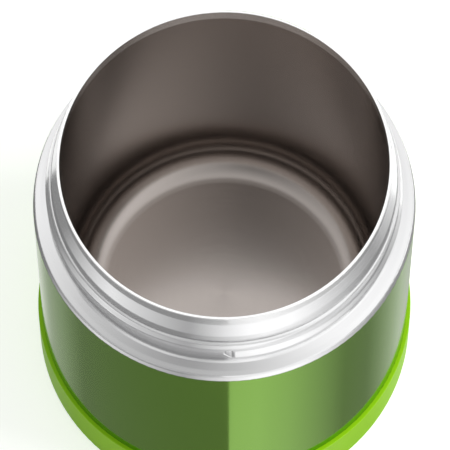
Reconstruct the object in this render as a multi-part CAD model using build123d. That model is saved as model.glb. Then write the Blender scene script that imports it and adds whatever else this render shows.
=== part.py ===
from build123d import *
import os

# Insulated food jar with a screw lid. Millimetres, +Z up.
# The origin is the centre of the jar's foot, on the surface that it stands on.
# The lid is off: it lies upside down behind the jar, on its +Y side.

# ---- jar: heights above the foot, from the lip down
RIM_Z = 105.0
LIP_DEPTH = 3.4
COLLAR_Z = 97.8
COLLAR_FOOT_Z = 95.0
GROOVE_FOOT_Z = 94.72
SHELF_Z = 94.4
ROOT_FOOT_Z = 84.2
SLOPE_FOOT_Z = 83.77
SHOULDER_BEND_Z = 83.05
SHOULDER_EDGE_Z = 82.58
STEP_FOOT_Z = 82.0
COAT_TOP_Z = 80.7
VESSEL_FLOOR_Z = 21.4
BOOT_TOP_Z = 16.0
PLATE_Z = 5.0
COAT_FOOT_Z = 3.0
SHELL_FOOT_Z = 2.0
FOOT_RECESS = 0.8

# ---- jar: radii
MOUTH_R = 39.0
LIP_R = 39.75
NECK_TOP_R = 39.7
COLLAR_R = 41.15
COLLAR_FOOT_R = 41.45
GROOVE_R = 41.12
SHELF_R = 41.54
ROOT_R = 41.95
SLOPE_FOOT_R = 42.57
SHOULDER_BEND_R = 44.2
SHOULDER_EDGE_R = 45.57
STEP_FOOT_R = 45.62
BODY_R = 46.0
BOOT_R = 47.0
FOOT_INNER_R = 34.0
BOOT_WINDOW_R = 30.0

# ---- jar: sheet, coat and foil thicknesses
VESSEL_WALL = 0.4
SHELL_WALL = 0.45
PLATE_WALL = 0.5
COAT = 0.15
FOIL = 0.12
BOOT_FIT = 0.02

# ---- jar: the pumping port in the bottom plate, and the getter beside it
POCKET_R = 12.0
POCKET_DEPTH = 1.6
PORT_R = 0.9
SEAL_R = 2.4
SEAL_TIP_R = 1.8
SEAL_DEPTH = 0.7
COVER_R = 11.2
COVER_RIM_R = 12.0
COVER_WALL = 0.35
COVER_RISE = 0.6
GETTER_X = 26.0
GETTER_CUP_R = 5.2
GETTER_CUP_HEIGHT = 2.6
GETTER_CUP_WALL = 0.3
GETTER_R = 4.7
GETTER_HEIGHT = 1.8

# ---- jar: the foil in the vacuum
FOIL_TOP_Z = 92.0
FOIL_FOOT_Z = 32.0
FOIL_DISC_R = 28.0

# ---- screw thread, right-handed, rolled into the neck
PITCH = 5.4
THREAD_START_Z = 88.3
THREAD_TURNS = 1.15
THREAD_RISE = 0.75
THREAD_FOOT = 0.15
THREAD_START_DEG = -86.7

# its section, as (rise above the root, height from the middle): a long slope with a round crest
THREAD_SECTION = [
    (0, -1.7),
    (0.5, -1.4),
    (0.69, -1.05),
    (THREAD_RISE, -0.7),
    (0.69, -0.3),
    (0.12, 1.0),
    (0, 1.4),
]

# its ends: a short nose at the front, and a run-out that an offset cylinder trims
NOSE_LENGTH = 0.4
NOSE_SHRINK = 0.12
RUNOUT_TURN = 1.0
RUNOUT_R = ROOT_R + THREAD_RISE + 0.05
RUNOUT_SHIFT = 1.05

# the drop-shaped mark stamped before its start, as (distance to the right of the middle, height)
START_MARK = [
    (0.05, 88.5),
    (0.45, 90.1),
    (1.7, 90.0),
    (1.75, 86.3),
]
MARK_FACE_R = 41.9
MARK_TURN_DEG = 5.0
MARK_LINE = 0.24
MARK_DEPTH = 0.25
MARK_REACH = 1.0

# ---- lid, in its own upright frame: height 0 is the skirt's lower edge
LID_HEIGHT = 46.0
LID_R = 46.0
LID_TOP_R = 45.6
CAP_BORE_R = 44.35
CAP_ROOF = 43.3
INLAY_R = 36.2
INLAY_GAP = 0.1
INLAY_DEPTH = 1.1
INLAY_WALL = 0.9
FLUTES = 30
FLUTE_R = 2.6
FLUTE_DEPTH = 0.85
FLUTE_LOW = 9.0
FLUTE_HIGH = 38.0
LINER_FIT = 0.02
LINER_BORE_R = 43.05
LINER_FOOT = 0.6
FLANGE = 22.0
FLANGE_WALL = 1.5
PLUG_R = 35.5
PLUG_FOOT = 10.0
PLUG_WALL = 1.5
RIB = 0.7
RIB_HIGH = 19.6
RIB_LOW = 19.1
RIB_FOOT = 18.6
GASKET_IN_R = 35.8
GASKET_OUT_R = 41.2
GASKET_LOW = 20.3
GASKET_HIGH = 21.7
GASKET_GROOVE = 0.25
GROOVE_HALF = 0.7
GROOVE_SLOPE = 0.4
PAD_R = 33.6
PAD_HEIGHT = 7.5
PAD_GAP = 0.3
SHIELD_WALL = 0.4
LID_THREAD_RISE = 0.8
LID_THREAD_FROM = 0.25
LID_THREAD_TO = 1.15
LID_THREAD_BELOW = 2.9

# the lid thread's section, as (rise from the bore, height from the middle)
LID_THREAD_SECTION = [
    (0, -0.95),
    (0.5, -0.75),
    (LID_THREAD_RISE, -0.25),
    (LID_THREAD_RISE, 0.25),
    (0.5, 0.75),
    (0, 0.95),
]

# ---- how the lid travels from the surface behind the jar onto the neck
SEATED_Z = 85.0
SCREW_TRAVEL = PITCH
DROP_TRAVEL = 17.6
SWING_Y = 70.0
HOVER_Z = SEATED_Z + SCREW_TRAVEL + DROP_TRAVEL
SWING_Z = (HOVER_Z + LID_HEIGHT) / 2

# ---- corner radii
SHARP = 0
FINE = 0.1
EASED = 0.2
SOFT = 0.4
ROUND = 1.0
FULL = 2.0
LID_TOP_ROUND = 3.0
COLLAR_CURVE = 4.0
VESSEL_CORNER = 9.1


def turned(outline):
    """Revolve a closed outline of (radius, height, corner radius) points about the Z axis."""
    points = [(r, z) for r, z, corner in outline]
    corners = [corner for r, z, corner in outline]
    edge = FilletPolyline(*points, radius=corners, close=True)
    return revolve(Plane.XZ * make_face(edge), Axis.Z)


def disc(radius, low, thickness):
    """A plain disc about the Z axis, with its underside at the height low."""
    return Pos(0, 0, low + thickness / 2) * Cylinder(radius, thickness)


def thread_face(base_r, side, section, shrink=1.0):
    """The thread's section face in the XZ plane; side is 1 outwards and -1 inwards."""
    foot_r = base_r - THREAD_FOOT * side
    outline = [(0, section[0][1] * shrink)]
    outline += [(THREAD_FOOT + rise * shrink, height * shrink) for rise, height in section]
    outline += [(0, section[-1][1] * shrink)]
    points = [(foot_r + side * rise, height) for rise, height in outline]
    return Plane.XZ * make_face(Polyline(*points, close=True))


def helical_ridge(base_r, side, section, start_z, turns, start_deg):
    """A right-handed thread ridge on a wall, from start_deg round the Z axis."""
    path = Helix(PITCH, PITCH * turns, base_r)
    ridge = sweep(thread_face(base_r, side, section), path, is_frenet=True)
    return Pos(0, 0, start_z) * Rot(0, 0, start_deg) * ridge


def place_lid(piece):
    """Put a lid piece from the lid's own frame upside down on the surface behind the jar."""
    return Pos(0, 2 * SWING_Y, LID_HEIGHT) * Rot(180, 0, 0) * piece


# ---- jar: the steel walls


def make_inner_vessel():
    """The food cup, drawn in one piece, with its lip rolled out over the outer wall."""
    outer_r = MOUTH_R + VESSEL_WALL
    under = VESSEL_FLOOR_Z - VESSEL_WALL
    return turned([
        (MOUTH_R, RIM_Z, FINE),
        (LIP_R, RIM_Z, EASED),
        (LIP_R, RIM_Z - LIP_DEPTH, SHARP),
        (outer_r, RIM_Z - LIP_DEPTH, SHARP),
        (outer_r, under, VESSEL_CORNER + VESSEL_WALL),
        (0, under, SHARP),
        (0, VESSEL_FLOOR_Z, SHARP),
        (MOUTH_R, VESSEL_FLOOR_Z, VESSEL_CORNER),
    ])


def make_outer_shell():
    """The outer wall: neck cone, collar, groove, thread, shoulder and straight body."""
    body_r = BODY_R - COAT
    body_in_r = body_r - SHELL_WALL
    root_in_r = ROOT_R - SHELL_WALL
    collar_in_r = COLLAR_R - SHELL_WALL
    vessel_r = MOUTH_R + VESSEL_WALL
    seam_z = RIM_Z - LIP_DEPTH
    wall = turned([
        (NECK_TOP_R, seam_z, SHARP),
        (COLLAR_R, COLLAR_Z, COLLAR_CURVE),
        (COLLAR_FOOT_R, COLLAR_FOOT_Z, SHARP),
        (GROOVE_R, COLLAR_FOOT_Z, SHARP),
        (GROOVE_R, GROOVE_FOOT_Z, SHARP),
        (SHELF_R, GROOVE_FOOT_Z, SHARP),
        (ROOT_R, SHELF_Z, FINE),
        (ROOT_R, ROOT_FOOT_Z, EASED),
        (SLOPE_FOOT_R, SLOPE_FOOT_Z, ROUND),
        (SHOULDER_BEND_R, SHOULDER_BEND_Z, COLLAR_CURVE),
        (SHOULDER_EDGE_R, SHOULDER_EDGE_Z, SOFT),
        (STEP_FOOT_R, STEP_FOOT_Z, FINE),
        (BODY_R, COAT_TOP_Z, SHARP),
        (body_r, COAT_TOP_Z, SHARP),
        (body_r, SHELL_FOOT_Z, SHARP),
        (body_in_r, SHELL_FOOT_Z, SHARP),
        (body_in_r, COAT_TOP_Z - SHELL_WALL, SOFT),
        (STEP_FOOT_R - SHELL_WALL, STEP_FOOT_Z, EASED),
        (SHOULDER_BEND_R, SHOULDER_BEND_Z - SHELL_WALL, SHARP),
        (root_in_r, ROOT_FOOT_Z - SHELL_WALL, SOFT),
        (root_in_r, SHELF_Z - SHELL_WALL, SHARP),
        (collar_in_r, GROOVE_FOOT_Z - SHELL_WALL, SHARP),
        (collar_in_r, COLLAR_Z, SHARP),
        (vessel_r, seam_z - SHELL_WALL, SHARP),
        (vessel_r, seam_z, SHARP),
    ])
    return wall + neck_thread() - mark_line() + mark_face()


def neck_thread():
    """The neck's ridge with its nose, cut off level with the shelf and trimmed where it runs out."""
    ridge = helical_ridge(ROOT_R, 1, THREAD_SECTION, THREAD_START_Z, THREAD_TURNS, THREAD_START_DEG)
    ridge -= disc(2 * BODY_R, SHELF_Z, PITCH)
    runout_z = THREAD_START_Z + PITCH * (RUNOUT_TURN - 0.5)
    quarter = Pos(BODY_R / 2, -BODY_R / 2, runout_z + PITCH / 2) * Box(BODY_R, BODY_R, PITCH)
    quarter -= Pos(-RUNOUT_SHIFT, 0, runout_z + PITCH / 2) * Cylinder(RUNOUT_R, PITCH)
    return ridge - quarter + thread_nose()


def thread_nose():
    """The short nose that the ridge drops down to at the front."""
    full = thread_face(ROOT_R, 1, THREAD_SECTION)
    tip = Pos(0, -NOSE_LENGTH, 0) * thread_face(ROOT_R, 1, THREAD_SECTION, NOSE_SHRINK)
    return Pos(0, 0, THREAD_START_Z) * Rot(0, 0, THREAD_START_DEG) * loft([tip, full], ruled=True)


def mark_prism(outline):
    """A face in the XZ plane, carried out through the neck's front wall."""
    return extrude(Plane.XZ.offset(ROOT_R - MARK_DEPTH) * outline, MARK_REACH)


def mark_line():
    """The fine groove round the drop-shaped mark at the thread's start."""
    drop = make_face(Polyline(*START_MARK, close=True))
    return mark_prism(offset(drop, MARK_LINE) - drop)


def mark_face():
    """The mark's flat face, turned a little to the right of the front."""
    drop = make_face(Polyline(*START_MARK, close=True))
    inside = Pos(0, -MARK_FACE_R / 2, THREAD_START_Z) * Box(PITCH, MARK_FACE_R, PITCH)
    return mark_prism(drop) & Rot(0, 0, MARK_TURN_DEG) * inside


def make_body_coat():
    """The paint on the straight body, level with the bare steel band above it."""
    return turned([
        (BODY_R - COAT, COAT_TOP_Z, SHARP),
        (BODY_R, COAT_TOP_Z, SHARP),
        (BODY_R, COAT_FOOT_Z, SHARP),
        (BODY_R - COAT, COAT_FOOT_Z, SHARP),
    ])


def make_outer_bottom_plate():
    """The recessed steel bottom that closes the vacuum space, with a pocket for the port."""
    flange_r = BODY_R - COAT - SHELL_WALL
    under = PLATE_Z - PLATE_WALL
    return turned([
        (flange_r, SHELL_FOOT_Z, SHARP),
        (flange_r, PLATE_Z, ROUND + PLATE_WALL),
        (POCKET_R + POCKET_DEPTH / 2, PLATE_Z, SOFT),
        (POCKET_R, PLATE_Z + POCKET_DEPTH, SOFT),
        (PORT_R, PLATE_Z + POCKET_DEPTH, SHARP),
        (PORT_R, under + POCKET_DEPTH, SHARP),
        (POCKET_R - PLATE_WALL, under + POCKET_DEPTH, EASED),
        (POCKET_R + POCKET_DEPTH / 4, under, EASED),
        (flange_r - PLATE_WALL, under, ROUND),
        (flange_r - PLATE_WALL, SHELL_FOOT_Z, SHARP),
    ])


def make_vacuum_port_seal():
    """The bead that fills the pumping hole and spreads under it."""
    under = PLATE_Z - PLATE_WALL + POCKET_DEPTH
    return turned([
        (0, PLATE_Z + POCKET_DEPTH, SHARP),
        (PORT_R, PLATE_Z + POCKET_DEPTH, SHARP),
        (PORT_R, under, SHARP),
        (SEAL_R, under, SHARP),
        (SEAL_TIP_R, under - SEAL_DEPTH, SOFT),
        (0, under - SEAL_DEPTH, SHARP),
    ])


def make_port_cover():
    """The thin steel disc, set into the pocket's mouth, that protects the seal."""
    under = PLATE_Z - PLATE_WALL
    return turned([
        (0, under + COVER_WALL, SHARP),
        (COVER_R, under + COVER_WALL, SHARP),
        (COVER_RIM_R - COVER_WALL / 2, under + COVER_WALL + COVER_RISE, SHARP),
        (COVER_RIM_R, under + COVER_RISE, SHARP),
        (COVER_R + COVER_WALL / 2, under, EASED),
        (0, under, SHARP),
    ])


# ---- jar: what the vacuum holds


def make_reflective_foil():
    """One layer of foil wrapped round the food cup."""
    inner_r = MOUTH_R + VESSEL_WALL
    return turned([
        (inner_r, FOIL_TOP_Z, SHARP),
        (inner_r + FOIL, FOIL_TOP_Z, SHARP),
        (inner_r + FOIL, FOIL_FOOT_Z, SHARP),
        (inner_r, FOIL_FOOT_Z, SHARP),
    ])


def make_foil_bottom_disc():
    """The foil disc under the food cup's floor."""
    return disc(FOIL_DISC_R, VESSEL_FLOOR_Z - VESSEL_WALL - FOIL, FOIL)


def make_getter_cup():
    """The small cup, spot-welded to the bottom plate, that holds the getter."""
    bore_r = GETTER_CUP_R - GETTER_CUP_WALL
    cup = turned([
        (0, 0, SHARP),
        (GETTER_CUP_R, 0, SOFT),
        (GETTER_CUP_R, GETTER_CUP_HEIGHT, SHARP),
        (bore_r, GETTER_CUP_HEIGHT, SHARP),
        (bore_r, GETTER_CUP_WALL, EASED),
        (0, GETTER_CUP_WALL, SHARP),
    ])
    return Pos(GETTER_X, 0, PLATE_Z) * cup


def make_getter_pellet():
    """The pressed getter in its cup."""
    pellet = turned([
        (0, 0, SHARP),
        (GETTER_R, 0, EASED),
        (GETTER_R, GETTER_HEIGHT, EASED),
        (0, GETTER_HEIGHT, SHARP),
    ])
    return Pos(GETTER_X, 0, PLATE_Z + GETTER_CUP_WALL) * pellet


# ---- jar: the boot


def make_base_boot():
    """The moulded boot: a flat-topped wall round the body and a foot ring under it."""
    bore_r = BODY_R + BOOT_FIT
    return turned([
        (bore_r, BOOT_TOP_Z, SHARP),
        (BOOT_R, BOOT_TOP_Z, EASED),
        (BOOT_R, 0, FULL),
        (FOOT_INNER_R, 0, SOFT),
        (FOOT_INNER_R - FOOT_RECESS, FOOT_RECESS, EASED),
        (BOOT_WINDOW_R, FOOT_RECESS, SHARP),
        (BOOT_WINDOW_R, SHELL_FOOT_Z, SOFT),
        (bore_r, SHELL_FOOT_Z, SHARP),
    ])


# ---- lid


def make_lid_cap():
    """The outer moulding, with upright grip flutes and a shallow recess for the inlay."""
    recess_r = INLAY_R + INLAY_GAP
    shell = turned([
        (CAP_BORE_R, 0, EASED),
        (LID_R, 0, SOFT),
        (LID_TOP_R, LID_HEIGHT, LID_TOP_ROUND),
        (recess_r, LID_HEIGHT, EASED),
        (recess_r, LID_HEIGHT - INLAY_DEPTH, SHARP),
        (0, LID_HEIGHT - INLAY_DEPTH, SHARP),
        (0, CAP_ROOF, SHARP),
        (CAP_BORE_R, CAP_ROOF, FULL),
    ])
    rod_length = FLUTE_HIGH - FLUTE_LOW
    rod = Pos(0, 0, FLUTE_LOW + rod_length / 2) * Cylinder(FLUTE_R, rod_length)
    flute = rod + Pos(0, 0, FLUTE_LOW) * Sphere(FLUTE_R) + Pos(0, 0, FLUTE_HIGH) * Sphere(FLUTE_R)
    for place in PolarLocations(LID_R + FLUTE_R - FLUTE_DEPTH, FLUTES):
        shell -= place * flute
    return shell


def make_lid_liner():
    """The inner moulding: threaded skirt, flange over the lip, and hollow plug."""
    skirt_r = CAP_BORE_R - LINER_FIT
    plug_bore_r = PLUG_R - PLUG_WALL
    body = turned([
        (LINER_BORE_R, LINER_FOOT, EASED),
        (skirt_r, LINER_FOOT, EASED),
        (skirt_r, FLANGE + FLANGE_WALL, SHARP),
        (plug_bore_r, FLANGE + FLANGE_WALL, SOFT),
        (plug_bore_r, PLUG_FOOT + PLUG_WALL, ROUND),
        (0, PLUG_FOOT + PLUG_WALL, SHARP),
        (0, PLUG_FOOT, SHARP),
        (PLUG_R, PLUG_FOOT, FULL),
        (PLUG_R, RIB_FOOT, SHARP),
        (PLUG_R + RIB, RIB_LOW, EASED),
        (PLUG_R + RIB, RIB_HIGH, EASED),
        (PLUG_R, RIB_HIGH, SHARP),
        (PLUG_R, FLANGE, SHARP),
        (LINER_BORE_R, FLANGE, SOFT),
    ])
    first_z = THREAD_START_Z - SEATED_Z - LID_THREAD_BELOW + PITCH * LID_THREAD_FROM
    turns = LID_THREAD_TO - LID_THREAD_FROM
    start_deg = THREAD_START_DEG + 360 * LID_THREAD_FROM
    return body + helical_ridge(LINER_BORE_R, -1, LID_THREAD_SECTION, first_z, turns, start_deg)


def make_lid_gasket():
    """The flat silicone ring under the flange, with the groove that the lip presses into it."""
    groove_r = (MOUTH_R + LIP_R) / 2
    groove_z = GASKET_LOW + GASKET_GROOVE
    edge = GROOVE_HALF + GROOVE_SLOPE
    return turned([
        (GASKET_IN_R, GASKET_LOW, EASED),
        (groove_r - edge, GASKET_LOW, SHARP),
        (groove_r - GROOVE_HALF, groove_z, FINE),
        (groove_r + GROOVE_HALF, groove_z, FINE),
        (groove_r + edge, GASKET_LOW, SHARP),
        (GASKET_OUT_R, GASKET_LOW, EASED),
        (GASKET_OUT_R, GASKET_HIGH, EASED),
        (GASKET_IN_R, GASKET_HIGH, EASED),
    ])


def make_lid_insulation_pad():
    """The foam pad in the plug."""
    low = PLUG_FOOT + PLUG_WALL + PAD_GAP
    return turned([
        (0, low, SHARP),
        (PAD_R, low, ROUND + SOFT),
        (PAD_R, low + PAD_HEIGHT, SOFT),
        (0, low + PAD_HEIGHT, SHARP),
    ])


def make_lid_heat_shield():
    """The bright disc above the pad, which turns radiated heat back."""
    pad_top = PLUG_FOOT + PLUG_WALL + PAD_GAP + PAD_HEIGHT
    return disc(PAD_R, pad_top + PAD_GAP, SHIELD_WALL)


def make_lid_top_inlay():
    """The round plate let into the top of the cap."""
    low = LID_HEIGHT - INLAY_DEPTH
    return turned([
        (0, low, SHARP),
        (INLAY_R, low, SHARP),
        (INLAY_R, low + INLAY_WALL, EASED),
        (0, low + INLAY_WALL, SHARP),
    ])


JAR_PIECES = {
    "inner_vessel": make_inner_vessel,
    "outer_shell": make_outer_shell,
    "body_coat": make_body_coat,
    "outer_bottom_plate": make_outer_bottom_plate,
    "vacuum_port_seal": make_vacuum_port_seal,
    "port_cover": make_port_cover,
    "reflective_foil": make_reflective_foil,
    "foil_bottom_disc": make_foil_bottom_disc,
    "getter_cup": make_getter_cup,
    "getter_pellet": make_getter_pellet,
    "base_boot": make_base_boot,
}

LID_PIECES = {
    "lid_cap": make_lid_cap,
    "lid_liner": make_lid_liner,
    "lid_gasket": make_lid_gasket,
    "lid_insulation_pad": make_lid_insulation_pad,
    "lid_heat_shield": make_lid_heat_shield,
    "lid_top_inlay": make_lid_top_inlay,
}

os.makedirs("parts", exist_ok=True)
for name, make in JAR_PIECES.items():
    export_step(make(), f"parts/{name}.step")
for name, make in LID_PIECES.items():
    export_step(place_lid(make()), f"parts/{name}.step")
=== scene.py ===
import math

import bpy
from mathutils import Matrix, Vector


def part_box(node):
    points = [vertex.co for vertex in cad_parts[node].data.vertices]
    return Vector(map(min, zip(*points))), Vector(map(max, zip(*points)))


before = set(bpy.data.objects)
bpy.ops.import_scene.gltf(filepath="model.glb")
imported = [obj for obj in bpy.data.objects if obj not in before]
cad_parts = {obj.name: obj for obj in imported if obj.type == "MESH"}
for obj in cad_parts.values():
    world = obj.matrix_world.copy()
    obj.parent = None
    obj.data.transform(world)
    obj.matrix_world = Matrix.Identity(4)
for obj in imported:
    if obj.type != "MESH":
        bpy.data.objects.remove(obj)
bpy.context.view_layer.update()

# Lengths are in metres unless a name says otherwise, and angles in degrees. An azimuth runs from the
# jar's front, which is -Y, towards its right, which is +X. Colours and tones are linear.

# ---- the camera: a long lens in front of the jar and high over it, tilted up from straight down
CAMERA_PLACE = (0.00015, -0.4601, 1.1914)
CAMERA_TILT = 22.24
CAMERA_LENS_MM = 400.0
SENSOR_WIDTH_MM = 36.0

# ---- the floor, and the glow that only the camera and mirroring surfaces see
FLOOR_SIZE = 6.0
FLOOR_TONE = 0.9
FLOOR_ROUGHNESS = 0.9
FLOOR_SHINE = 0.1
FLOOR_GLOW = 0.55

# ---- the light: an even one from all round, and a key lamp high on the right
AMBIENT = 0.62
KEY_PLACE = (0.9, -0.1, 0.9)
KEY_TARGET = (0.0, 0.0, 0.06)
KEY_SIZE = 0.6
KEY_WATTS = 9.0

# ---- the sky that steel mirrors: darkest round one direction, brighter away from it and to the right,
# and never above a ceiling that is higher overhead than at the horizon
SKY_DARK_AT = (-0.17, -0.5)
SKY_DARK = 0.36
SKY_RISE = 1.2
SKY_LEAN = 0.41
SKY_RIM = 1.1
SKY_CROWN = 0.5

# ---- the cards that steel and gloss mirror, cut into steps of so many degrees, with a gap between
# those that lie over each other
CARD_STEP = 3.0
CARD_GAP = 0.0005

# walls of the jar that a card on the table is made for, as (radius, lowest height, highest height)
COAT_WALL = (0.046, 0.012, 0.081)
NECK_WALL = (0.0416, 0.086, 0.104)
NECK_CONE = (0.0405, 0.0995, 0.0995)

# how far each wall leans back
UPRIGHT = 0.0
CONE_TILT = 20.5

# where a card's near and far edge lie, as shares of the way from the wall to what it mirrors
COAT_REACH = (0.0, 1.0)
NECK_REACH = (1.0, 2.1)
CONE_REACH = (0.4, 1.15)
THREAD_REACH = (1.15, 2.4)

# tones of the cards on the table, as (azimuth of the wall that mirrors them, tone)
COAT_CARD = [
    (-90, 1.0),
    (-80, 0.82),
    (-70, 0.50),
    (-60, 0.42),
    (-50, 0.25),
    (-30, 0.25),
    (1.4, 0.25),
    (1.4, 0.93),
    (10, 0.96),
    (20, 0.80),
    (30, 0.54),
    (40, 0.27),
    (50, 0.26),
    (60, 0.48),
    (70, 0.70),
    (90, 0.55),
]
NECK_CARD = [
    (-90, 0.17),
    (-60, 0.19),
    (-35, 0.28),
    (-12, 0.26),
    (12, 1.15),
    (22, 1.0),
    (30, 0.76),
    (40, 0.50),
    (50, 0.27),
    (64, 0.25),
    (90, 0.95),
]
CONE_CARD = [
    (-90, 0.28),
    (-70, 0.28),
    (-42, 1.05),
    (-12, 0.44),
    (8, 1.25),
    (22, 1.25),
    (30, 0.98),
    (40, 0.62),
    (50, 0.38),
    (60, 0.28),
    (82, 0.90),
]
THREAD_CARD = [
    (-90, 0.30),
    (-64, 0.36),
    (-40, 0.70),
    (-12, 0.45),
    (2, 1.10),
    (30, 1.40),
    (50, 1.30),
    (66, 0.90),
    (90, 0.95),
]

# cards that stand in a ring round the jar: their tones, as (azimuth, tone), and the heights of
# their lower and upper edge
STANDING_DISTANCE = 0.45
LEFT_FLAG = [(-112, 0.30), (1.5, 0.30)]
LEFT_FLAG_HEIGHTS = (0.0, 0.275)
RIGHT_FLAG = [(60, 0.35), (92, 0.35)]
RIGHT_FLAG_HEIGHTS = (0.0, 0.20)
FRONT_PANEL = [
    (-75, 0.42),
    (-58, 0.62),
    (-42, 0.86),
    (-27, 0.84),
    (-12, 0.60),
    (-3, 0.78),
    (3, 1.0),
    (10, 1.2),
    (20, 1.2),
]
FRONT_PANEL_HEIGHTS = (0.31, 0.52)
RIGHT_PANEL = [(20, 1.2), (40, 1.35), (90, 1.35)]
RIGHT_PANEL_HEIGHTS = (0.31, 0.40)

# ---- colours
WHITE = (1.0, 1.0, 1.0)
STEEL = (0.82, 0.82, 0.825)
# painted shade: the vessel's steel is darkened and browned, so that its inside looks shadowed
VESSEL_STEEL_SHADED = (0.43, 0.39, 0.365)
# painted highlight: the lip's steel is near white, so that the rolled rim shows a white line
LIP_STEEL_HIGHLIGHT = (0.92, 0.92, 0.92)
COAT_GREEN = (0.20, 0.44, 0.02)
COAT_EDGE = (0.865, 0.93, 0.78)
LIME = (0.36, 0.74, 0.005)
LINER_GREY = (0.72, 0.73, 0.72)
GASKET_WHITE = (0.78, 0.78, 0.76)
FOAM_WHITE = (0.86, 0.86, 0.83)
FOAM_SHADE = (0.6, 0.6, 0.57)
FOIL_BRIGHT = (0.88, 0.88, 0.89)
GETTER_DARK = (0.10, 0.10, 0.11)
GETTER_LIGHT = (0.2, 0.2, 0.21)
SEAL_DARK = (0.12, 0.09, 0.06)
SEAL_LIGHT = (0.2, 0.16, 0.12)

# the darkest grain of the paint and of the plastics, as shares of their colour
PAINT_DEEP = 0.93
PLASTIC_DEEP = 0.94
PLASTIC_ROUGHNESS_SPREAD = 0.04

# ---- lathe lines: how many to the metre of height, how much faster they pass along the radius, how
# much they change in going round, and how near the axis they stop closing in
LINES_PER_METRE = 5200.0
LINES_OVER_RADIUS = 1.7
LINES_ROUND = 1.5
LINES_CORE = 0.0005

# a full turn of the grain is 1, and a quarter turn lays highlights across the lathe lines
ACROSS_THE_LINES = 0.25

# the radius that light sees on the outer shell's edges, and the samples that find them
SHELL_EDGE = 0.00035
EDGE_SAMPLES = 8

# painted highlight: the vessel's steel is near white from its mouth down to this depth
LIP_HIGHLIGHT_DEPTH = 0.0034
MOUTH_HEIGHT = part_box("inner_vessel")[1].z

# sockets of a Mix node that mixes two colours
MIX_FIRST = 6
MIX_SECOND = 7
MIX_RESULT = 2


# ---- helpers for nodes and materials


class Nodes:
    """Short calls that make and wire the nodes of one tree."""

    def __init__(self, tree):
        self.tree = tree

    def node(self, kind, **settings):
        made = self.tree.nodes.new(kind)
        for key, value in settings.items():
            setattr(made, key, value)
        return made

    def link(self, source, target):
        self.tree.links.new(source, target)

    def put(self, target, value):
        """Feed a socket from another socket, or set it to a plain value."""
        if isinstance(value, bpy.types.NodeSocket):
            self.link(value, target)
        else:
            target.default_value = value

    def math(self, operation, first, second=0.0, clamp=False):
        made = self.node("ShaderNodeMath", operation=operation, use_clamp=clamp)
        self.put(made.inputs[0], first)
        self.put(made.inputs[1], second)
        return made.outputs[0]

    def split(self, vector):
        """The X, Y and Z sockets of a vector."""
        made = self.node("ShaderNodeSeparateXYZ")
        self.link(vector, made.inputs["Vector"])
        return made.outputs["X"], made.outputs["Y"], made.outputs["Z"]

    def length(self, x, y):
        """The length of the flat vector (x, y)."""
        squares = self.math("ADD", self.math("MULTIPLY", x, x), self.math("MULTIPLY", y, y))
        return self.math("SQRT", squares)


class Material(Nodes):
    """A material with one Principled shader, and short calls to dress it."""

    def __init__(self, name):
        self.data = bpy.data.materials.new(name)
        self.data.use_nodes = True
        super().__init__(self.data.node_tree)
        self.shader = self.tree.nodes["Principled BSDF"]
        self.soft_normal = None

    def object_place(self):
        return self.node("ShaderNodeTexCoord").outputs["Object"]

    def noise(self, vector, scale, detail=2.0, roughness=0.5):
        """Soft noise from 0 to 1, with scale features to each unit of the vector."""
        made = self.node("ShaderNodeTexNoise")
        self.link(vector, made.inputs["Vector"])
        made.inputs["Scale"].default_value = scale
        made.inputs["Detail"].default_value = detail
        made.inputs["Roughness"].default_value = roughness
        return made.outputs["Fac"]

    def remap(self, value, low, high):
        """Stretch a 0 to 1 value onto low to high."""
        made = self.node("ShaderNodeMapRange")
        self.link(value, made.inputs["Value"])
        made.inputs["To Min"].default_value = low
        made.inputs["To Max"].default_value = high
        return made.outputs["Result"]

    def mix(self, share, first, second):
        """The first colour at share 0, and the second at share 1."""
        made = self.node("ShaderNodeMix", data_type="RGBA")
        self.put(made.inputs["Factor"], share)
        self.put(made.inputs[MIX_FIRST], rgba(first))
        self.put(made.inputs[MIX_SECOND], rgba(second))
        return made.outputs[MIX_RESULT]

    def round_edges(self, radius):
        """Let light see the edges as rounded, as rolled and pressed sheet is."""
        made = self.node("ShaderNodeBevel", samples=EDGE_SAMPLES)
        made.inputs["Radius"].default_value = radius
        self.soft_normal = made.outputs["Normal"]

    def bump(self, height, strength, depth):
        """Let light see a 0 to 1 height as bumps of that depth."""
        made = self.node("ShaderNodeBump")
        if self.soft_normal:
            self.link(self.soft_normal, made.inputs["Normal"])
        self.link(height, made.inputs["Height"])
        made.inputs["Strength"].default_value = strength
        made.inputs["Distance"].default_value = depth
        self.link(made.outputs["Normal"], self.shader.inputs["Normal"])

    def shade(self, **values):
        """Set the shader's own sockets, such as Roughness=0.3."""
        for key, value in values.items():
            self.put(self.shader.inputs[key.replace("_", " ")], value)


def rgba(colour):
    return (*colour, 1.0)


def deepened(colour, share):
    return tuple(channel * share for channel in colour)


def lathe_vector(mat):
    """A vector that runs slowly round the jar's axis and quickly along it and away from it."""
    x, y, z = mat.split(mat.object_place())
    radius = mat.length(x, y)
    safe = mat.math("MAXIMUM", radius, LINES_CORE)
    along = mat.math("ADD", z, mat.math("MULTIPLY", radius, LINES_OVER_RADIUS))
    joined = mat.node("ShaderNodeCombineXYZ")
    mat.link(mat.math("MULTIPLY", mat.math("DIVIDE", x, safe), LINES_ROUND), joined.inputs["X"])
    mat.link(mat.math("MULTIPLY", mat.math("DIVIDE", y, safe), LINES_ROUND), joined.inputs["Y"])
    mat.link(mat.math("MULTIPLY", along, LINES_PER_METRE), joined.inputs["Z"])
    return joined.outputs["Vector"]


def brushed(mat, roughness, spread, strength):
    """Fine lathe lines round the jar's axis, in the roughness and in the surface."""
    lines = mat.noise(lathe_vector(mat), scale=1.0, detail=3.0, roughness=0.6)
    mat.shade(Roughness=mat.remap(lines, roughness - spread, roughness + spread))
    mat.bump(lines, strength, depth=0.00002)


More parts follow.
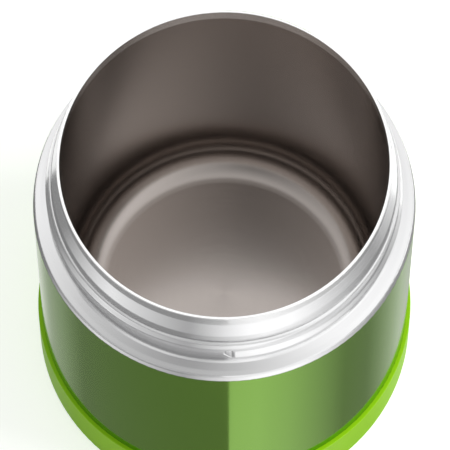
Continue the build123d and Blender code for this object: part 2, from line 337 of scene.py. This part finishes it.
def round_grain(mat, amount):
    """Stretch highlights across the lathe lines."""
    tangent = mat.node("ShaderNodeTangent", direction_type="RADIAL", axis="Z")
    mat.link(tangent.outputs["Tangent"], mat.shader.inputs["Tangent"])
    mat.shade(Anisotropic=amount, Anisotropic_Rotation=ACROSS_THE_LINES)


# ---- the materials


def shell_steel():
    """Satin steel with soft rolled edges."""
    mat = Material("shell_steel")
    mat.shade(Base_Color=rgba(STEEL), Metallic=1.0)
    mat.round_edges(SHELL_EDGE)
    round_grain(mat, 0.6)
    brushed(mat, roughness=0.18, spread=0.05, strength=0.25)
    return mat.data


def vessel_steel():
    """Satin steel with painted light: darker and browner inside as painted shade, and a near-white lip
    as a painted highlight.
    """
    mat = Material("vessel_steel")
    height = mat.split(mat.object_place())[2]
    # painted highlight above this height, and darker steel below it as painted shade
    lip_highlight = mat.math("GREATER_THAN", height, MOUTH_HEIGHT - LIP_HIGHLIGHT_DEPTH)
    mat.shade(Base_Color=mat.mix(lip_highlight, VESSEL_STEEL_SHADED, LIP_STEEL_HIGHLIGHT), Metallic=1.0)
    round_grain(mat, 0.5)
    brushed(mat, roughness=0.20, spread=0.05, strength=0.2)
    return mat.data


def plate_steel():
    """The plainer steel of the pieces under the jar and inside its walls."""
    mat = Material("plate_steel")
    mat.shade(Base_Color=rgba(STEEL), Metallic=1.0)
    brushed(mat, roughness=0.32, spread=0.06, strength=0.2)
    return mat.data


def green_coat():
    """Glossy metallic paint: fine flakes under a smooth face with a faint ripple."""
    mat = Material("green_coat")
    place = mat.object_place()
    flakes = mat.noise(place, scale=9000.0, detail=1.0)
    mat.shade(Base_Color=mat.mix(flakes, deepened(COAT_GREEN, PAINT_DEEP), COAT_GREEN))
    mat.shade(Metallic=0.9, Roughness=0.12, Specular_Tint=rgba(COAT_EDGE))
    mat.shade(Coat_Weight=0.05, Coat_Roughness=0.02, Coat_IOR=1.5)
    mat.bump(mat.noise(place, scale=700.0), strength=0.03, depth=0.00002)
    return mat.data


def moulded(name, colour, roughness, specular=0.5):
    """Moulded plastic: a fine even grain, slight tone changes and a soft gloss."""
    mat = Material(name)
    place = mat.object_place()
    tone = mat.noise(place, scale=60.0)
    mat.shade(Base_Color=mat.mix(tone, deepened(colour, PLASTIC_DEEP), colour))
    grain = mat.noise(place, scale=4500.0)
    low = roughness - PLASTIC_ROUGHNESS_SPREAD
    high = roughness + PLASTIC_ROUGHNESS_SPREAD
    mat.shade(Roughness=mat.remap(grain, low, high), Specular_IOR_Level=specular)
    mat.bump(grain, strength=0.12, depth=0.00003)
    return mat.data


def foam():
    """White foam with small round cells."""
    mat = Material("pad_foam")
    cells = mat.node("ShaderNodeTexVoronoi")
    mat.link(mat.object_place(), cells.inputs["Vector"])
    cells.inputs["Scale"].default_value = 1400.0
    middle = cells.outputs["Distance"]
    mat.shade(Base_Color=mat.mix(middle, FOAM_WHITE, FOAM_SHADE), Roughness=0.95)
    mat.bump(middle, strength=0.6, depth=0.0003)
    return mat.data


def foil():
    """Bright foil, slightly creased."""
    mat = Material("bright_foil")
    creases = mat.noise(mat.object_place(), scale=160.0, detail=4.0, roughness=0.65)
    mat.shade(Base_Color=rgba(FOIL_BRIGHT), Metallic=1.0)
    mat.shade(Roughness=mat.remap(creases, low=0.06, high=0.2))
    mat.bump(creases, strength=0.35, depth=0.0004)
    return mat.data


def getter():
    """A pressed pellet of dark metal grit."""
    mat = Material("getter_metal")
    grit = mat.noise(mat.object_place(), scale=2500.0, detail=3.0)
    mat.shade(Base_Color=mat.mix(grit, GETTER_DARK, GETTER_LIGHT))
    mat.shade(Metallic=0.6, Roughness=0.7)
    mat.bump(grit, strength=0.5, depth=0.0001)
    return mat.data


def seal_bead():
    """Dark brown solder glass, melted smooth."""
    mat = Material("seal_glass")
    drift = mat.noise(mat.object_place(), scale=500.0)
    mat.shade(Base_Color=mat.mix(drift, SEAL_DARK, SEAL_LIGHT))
    mat.shade(Roughness=0.12, Coat_Weight=0.5, Coat_Roughness=0.05)
    return mat.data


def dress(material, *nodes):
    """Give CAD nodes their finished material."""
    for name in nodes:
        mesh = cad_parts[name].data
        mesh.materials.clear()
        mesh.materials.append(material)


def dress_all():
    dress(shell_steel(), "outer_shell")
    dress(vessel_steel(), "inner_vessel")
    dress(plate_steel(), "outer_bottom_plate", "port_cover", "getter_cup")
    dress(green_coat(), "body_coat")
    dress(moulded("lime_boot", LIME, roughness=0.42, specular=0.3), "base_boot")
    dress(moulded("lime_cap", LIME, roughness=0.42, specular=0.3), "lid_cap")
    dress(moulded("green_inlay", COAT_GREEN, roughness=0.25), "lid_top_inlay")
    dress(moulded("liner_plastic", LINER_GREY, roughness=0.45), "lid_liner")
    dress(moulded("gasket_silicone", GASKET_WHITE, roughness=0.5), "lid_gasket")
    dress(foam(), "lid_insulation_pad")
    dress(foil(), "reflective_foil", "foil_bottom_disc", "lid_heat_shield")
    dress(getter(), "getter_pellet")
    dress(seal_bead(), "vacuum_port_seal")


# ---- the studio


def add_object(name, data):
    """Put a new object into the scene."""
    made = bpy.data.objects.new(name, data)
    bpy.context.scene.collection.objects.link(made)
    return made


def facing(azimuth):
    """The level unit vector from the jar's axis towards an azimuth."""
    turn = math.radians(azimuth)
    return Vector((math.sin(turn), -math.cos(turn), 0.0))


def mirrored(radius, height, tilt, azimuth, reach):
    """The point of the table that the camera sees in a round wall that leans back by tilt.

    That is at a reach of 1. A smaller reach gives a point nearer to the wall, and a larger one
    a point further away.
    """
    out = facing(azimuth)
    lean = math.radians(tilt)
    normal = out * math.cos(lean) + Vector((0.0, 0.0, math.sin(lean)))
    view = (Vector(CAMERA_PLACE) - Vector((0.0, 0.0, MOUTH_HEIGHT))).normalized()
    ray = 2 * normal.dot(view) * normal - view
    return out * radius + Vector((ray.x, ray.y, 0.0)) * (reach * height / -ray.z)


def glow_by_tone(name):
    """A material that gives off the mesh's own tone."""
    data = bpy.data.materials.new(name)
    data.use_nodes = True
    data.node_tree.nodes.clear()
    nodes = Nodes(data.node_tree)
    tone = nodes.node("ShaderNodeAttribute", attribute_name="tone")
    light = nodes.node("ShaderNodeEmission")
    nodes.link(tone.outputs["Fac"], light.inputs["Strength"])
    out = nodes.node("ShaderNodeOutputMaterial")
    nodes.link(light.outputs["Emission"], out.inputs["Surface"])
    return data


def card(name, knots, edges):
    """A strip that only steel and gloss mirror. edges gives its two edge points at an azimuth."""
    verts, faces, tones = [], [], []
    for (first, first_tone), (last, last_tone) in zip(knots, knots[1:]):
        if last == first:
            # two knots at one azimuth are a hard edge between their tones
            continue
        steps = math.ceil((last - first) / CARD_STEP)
        start = len(verts)
        for step in range(steps + 1):
            share = step / steps
            verts += edges(first + (last - first) * share)
            tones += [first_tone + (last_tone - first_tone) * share] * 2
        for low in range(start, len(verts) - 2, 2):
            faces.append((low, low + 1, low + 3, low + 2))
    mesh = bpy.data.meshes.new(name)
    mesh.from_pydata(verts, [], faces)
    layer = mesh.attributes.new("tone", "FLOAT", "POINT")
    layer.data.foreach_set("value", tones)
    mesh.materials.append(glow_by_tone(name))
    made = add_object(name, mesh)
    made.visible_camera = False
    made.visible_diffuse = False
    made.visible_shadow = False
    made.visible_transmission = False


def table_card(name, knots, wall, tilt, reach, layer):
    """A card just above the table, in a numbered layer, where a round wall of the jar mirrors it."""
    radius, low, high = wall
    lift = layer * CARD_GAP

    def edges(azimuth):
        near = mirrored(radius, low, tilt, azimuth, reach[0])
        far = mirrored(radius, high, tilt, azimuth, reach[1])
        return [(near.x, near.y, lift), (far.x, far.y, lift)]

    card(name, knots, edges)


def standing_card(name, knots, heights):
    """An upright card that stands in a ring round the jar."""

    def edges(azimuth):
        place = facing(azimuth) * STANDING_DISTANCE
        return [(place.x, place.y, height) for height in heights]

    card(name, knots, edges)


def make_cards():
    table_card("card_for_thread", THREAD_CARD, NECK_CONE, CONE_TILT, THREAD_REACH, layer=1)
    table_card("card_for_cone", CONE_CARD, NECK_CONE, CONE_TILT, CONE_REACH, layer=1)
    table_card("card_for_upright", NECK_CARD, NECK_WALL, UPRIGHT, NECK_REACH, layer=2)
    table_card("card_for_coat", COAT_CARD, COAT_WALL, UPRIGHT, COAT_REACH, layer=3)
    standing_card("left_flag", LEFT_FLAG, LEFT_FLAG_HEIGHTS)
    standing_card("right_flag", RIGHT_FLAG, RIGHT_FLAG_HEIGHTS)
    standing_card("front_panel", FRONT_PANEL, FRONT_PANEL_HEIGHTS)
    standing_card("right_panel", RIGHT_PANEL, RIGHT_PANEL_HEIGHTS)


def make_floor():
    half = FLOOR_SIZE / 2
    corners = [(-half, -half, 0), (half, -half, 0), (half, half, 0), (-half, half, 0)]
    mesh = bpy.data.meshes.new("floor")
    mesh.from_pydata(corners, [], [(0, 1, 2, 3)])
    mat = Material("floor")
    mat.shade(Base_Color=rgba([FLOOR_TONE] * 3), Roughness=FLOOR_ROUGHNESS)
    mat.shade(Specular_IOR_Level=FLOOR_SHINE, Emission_Color=rgba(WHITE))
    path = mat.node("ShaderNodeLightPath")
    seen = mat.math("ADD", path.outputs["Is Camera Ray"], path.outputs["Is Glossy Ray"], clamp=True)
    mat.shade(Emission_Strength=mat.math("MULTIPLY", seen, FLOOR_GLOW))
    mesh.materials.append(mat.data)
    add_object("floor", mesh)


def make_world():
    """White to the camera, even to matt surfaces, and a sky with a darker patch to steel."""
    world = bpy.data.worlds.new("studio")
    bpy.context.scene.world = world
    world.use_nodes = True
    world.node_tree.nodes.clear()
    nodes = Nodes(world.node_tree)

    x, y, z = nodes.split(nodes.node("ShaderNodeTexCoord").outputs["Generated"])
    right = nodes.math("SUBTRACT", x, SKY_DARK_AT[0])
    back = nodes.math("SUBTRACT", y, SKY_DARK_AT[1])
    rise = nodes.math("MULTIPLY", nodes.length(right, back), SKY_RISE)
    lean = nodes.math("MULTIPLY", right, SKY_LEAN)
    bright = nodes.math("ADD", nodes.math("ADD", rise, lean), SKY_DARK)
    crown = nodes.math("MULTIPLY", nodes.math("MULTIPLY", z, z), SKY_CROWN)
    sky = nodes.math("MINIMUM", bright, nodes.math("ADD", crown, SKY_RIM))

    path = nodes.node("ShaderNodeLightPath")
    mirror = path.outputs["Is Glossy Ray"]
    to_gloss = nodes.math("MULTIPLY", mirror, nodes.math("SUBTRACT", sky, AMBIENT))
    to_camera = nodes.math("MULTIPLY", path.outputs["Is Camera Ray"], 1.0 - AMBIENT)
    strength = nodes.math("ADD", nodes.math("ADD", to_gloss, to_camera), AMBIENT)
    light = nodes.node("ShaderNodeBackground")
    nodes.link(strength, light.inputs["Strength"])
    out = nodes.node("ShaderNodeOutputWorld")
    nodes.link(light.outputs["Background"], out.inputs["Surface"])


def make_key_light():
    """A square soft lamp that faces the jar."""
    data = bpy.data.lights.new("key", "AREA")
    data.size = KEY_SIZE
    data.energy = KEY_WATTS
    lamp = add_object("key", data)
    lamp.location = KEY_PLACE
    aim = Vector(KEY_TARGET) - Vector(KEY_PLACE)
    tilt = math.atan2(math.hypot(aim.x, aim.y), -aim.z)
    turn = math.atan2(aim.y, aim.x) - math.pi / 2
    lamp.rotation_euler = (tilt, 0.0, turn)
    lamp.visible_camera = False
    lamp.visible_glossy = False


def make_camera():
    data = bpy.data.cameras.new("camera")
    data.lens = CAMERA_LENS_MM
    data.sensor_width = SENSOR_WIDTH_MM
    camera = add_object("camera", data)
    camera.location = CAMERA_PLACE
    camera.rotation_euler = (math.radians(CAMERA_TILT), 0.0, 0.0)
    bpy.context.scene.camera = camera


bpy.context.scene.view_settings.view_transform = "Standard"
make_camera()
make_world()
make_floor()
make_key_light()
make_cards()
dress_all()
